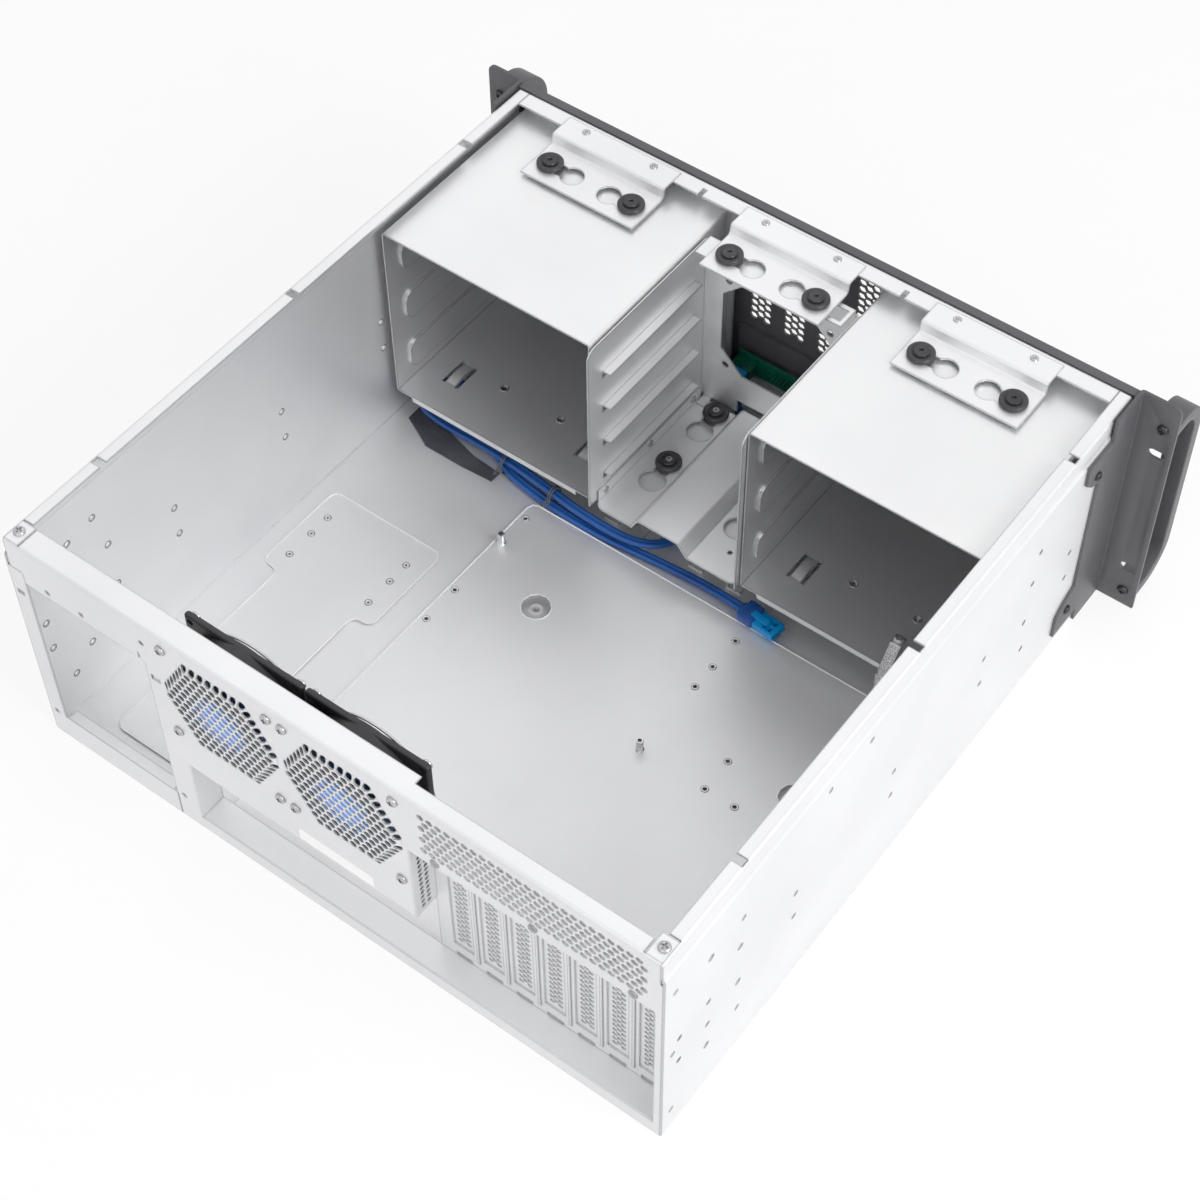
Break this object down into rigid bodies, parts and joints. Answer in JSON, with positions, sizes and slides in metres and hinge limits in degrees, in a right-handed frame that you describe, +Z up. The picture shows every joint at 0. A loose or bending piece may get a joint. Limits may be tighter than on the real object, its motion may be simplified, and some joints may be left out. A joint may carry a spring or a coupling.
{
  "type": "empty rackmount server case",
  "caption": "Low steel rackmount case with open top, rear fans, slot covers, hung drive cages, rack ears and handles.",
  "frame": {"origin": "middle of the overall box, on the underside of the floor", "axes": "+X to the right seen from the front, +Y to the rear, +Z up"},
  "size_m": [0.4826, 0.484, 0.1765],
  "materials": {
    "charcoal_plastic": "matt moulded",
    "bare_steel": "zinc-coated sheet, satin",
    "cage_steel": "zinc-coated sheet, satin",
    "blue_cable": "cable jacket",
    "grey_tie": "coated tie",
    "screw_steel": "zinc plated",
    "black_screw": "black oxide",
    "black_plastic": "matt moulded",
    "guard_wire": "plated wire",
    "rotor_plastic": "satin moulded",
    "charcoal_paint": "fine matt paint",
    "black_rubber": "soft matt",
    "green_board": "solder mask",
    "blue_plug": "moulded plug",
    "dark_ribbon": "ribbed bundle",
    "standoff_metal": "plated",
    "lamp_lens": "clear lens",
    "socket_shell": "plated shell"
  },
  "bodies": {
    "case": {"bay_cover_left_1": "charcoal_plastic", "bay_cover_left_2": "charcoal_plastic", "bay_cover_left_3": "charcoal_plastic", "bay_cover_right_1": "charcoal_plastic", "bay_cover_right_2": "charcoal_plastic", "bay_cover_right_3": "charcoal_plastic", "bay_rail_left": "bare_steel", "bay_rail_right": "bare_steel", "bay_tray": "cage_steel", "bay_wrap": "cage_steel", "board_plug": "blue_cable", "cable_ties": "grey_tie", "cage_clamp": "screw_steel", "cage_rail_left": "bare_steel", "cage_rail_right": "bare_steel", "chassis_tray": "bare_steel", "clamp_screw": "screw_steel", "drive_cage_left": "cage_steel", "drive_cage_right": "cage_steel", "ear_screws": "black_screw", "fan_frame_1": "black_plastic", "fan_frame_2": "black_plastic", "fan_guard_1": "guard_wire", "fan_guard_2": "guard_wire", "fan_screws": "screw_steel", "front_frame": "bare_steel", "front_panel": "charcoal_paint", "grommet_screws": "screw_steel", "grommets": "black_rubber", "handle_left": "charcoal_paint", "handle_right": "charcoal_paint", "handle_screws": "black_screw", "hanger_bracket_left": "bare_steel", "hanger_bracket_middle": "bare_steel", "hanger_bracket_right": "bare_steel", "io_board": "green_board", "io_bracket": "bare_steel", "lead_plug": "blue_plug", "rack_ear_left": "charcoal_paint", "rack_ear_right": "charcoal_paint", "rear_panel": "bare_steel", "rear_screws": "screw_steel", "ribbon": "dark_ribbon", "rivets": "screw_steel", "slot_cover_1": "bare_steel", "slot_cover_2": "bare_steel", "slot_cover_3": "bare_steel", "slot_cover_4": "bare_steel", "slot_cover_5": "bare_steel", "slot_cover_6": "bare_steel", "slot_cover_7": "bare_steel", "slot_wall": "bare_steel", "standoffs": "standoff_metal", "status_lamps": "lamp_lens", "usb_lead": "blue_cable", "usb_sockets": "socket_shell"},
    "rear_rotor_1": {"fan_rotor_1": "rotor_plastic"},
    "rear_rotor_2": {"fan_rotor_2": "rotor_plastic"},
    "power": {"power_button": "black_plastic"},
    "reset": {"reset_button": "black_plastic"}
  },
  "joints": [
    {"name": "rear_fan_1_spin", "type": "hinge", "parent": "case", "child": "rear_rotor_1", "pos_m": [0.0665, 0.226, 0.129], "axis": [0, 1, 0], "continuous": true},
    {"name": "rear_fan_2_spin", "type": "hinge", "parent": "case", "child": "rear_rotor_2", "pos_m": [-0.0153, 0.226, 0.129], "axis": [0, 1, 0], "continuous": true},
    {"name": "power_press", "type": "slide", "parent": "case", "child": "power", "axis": [0, 1, 0], "range_m": [0, 0.0015], "stiffness_N_per_m": 300},
    {"name": "reset_press", "type": "slide", "parent": "case", "child": "reset", "axis": [0, 1, 0], "range_m": [0, 0.0015], "stiffness_N_per_m": 300}
  ]
}
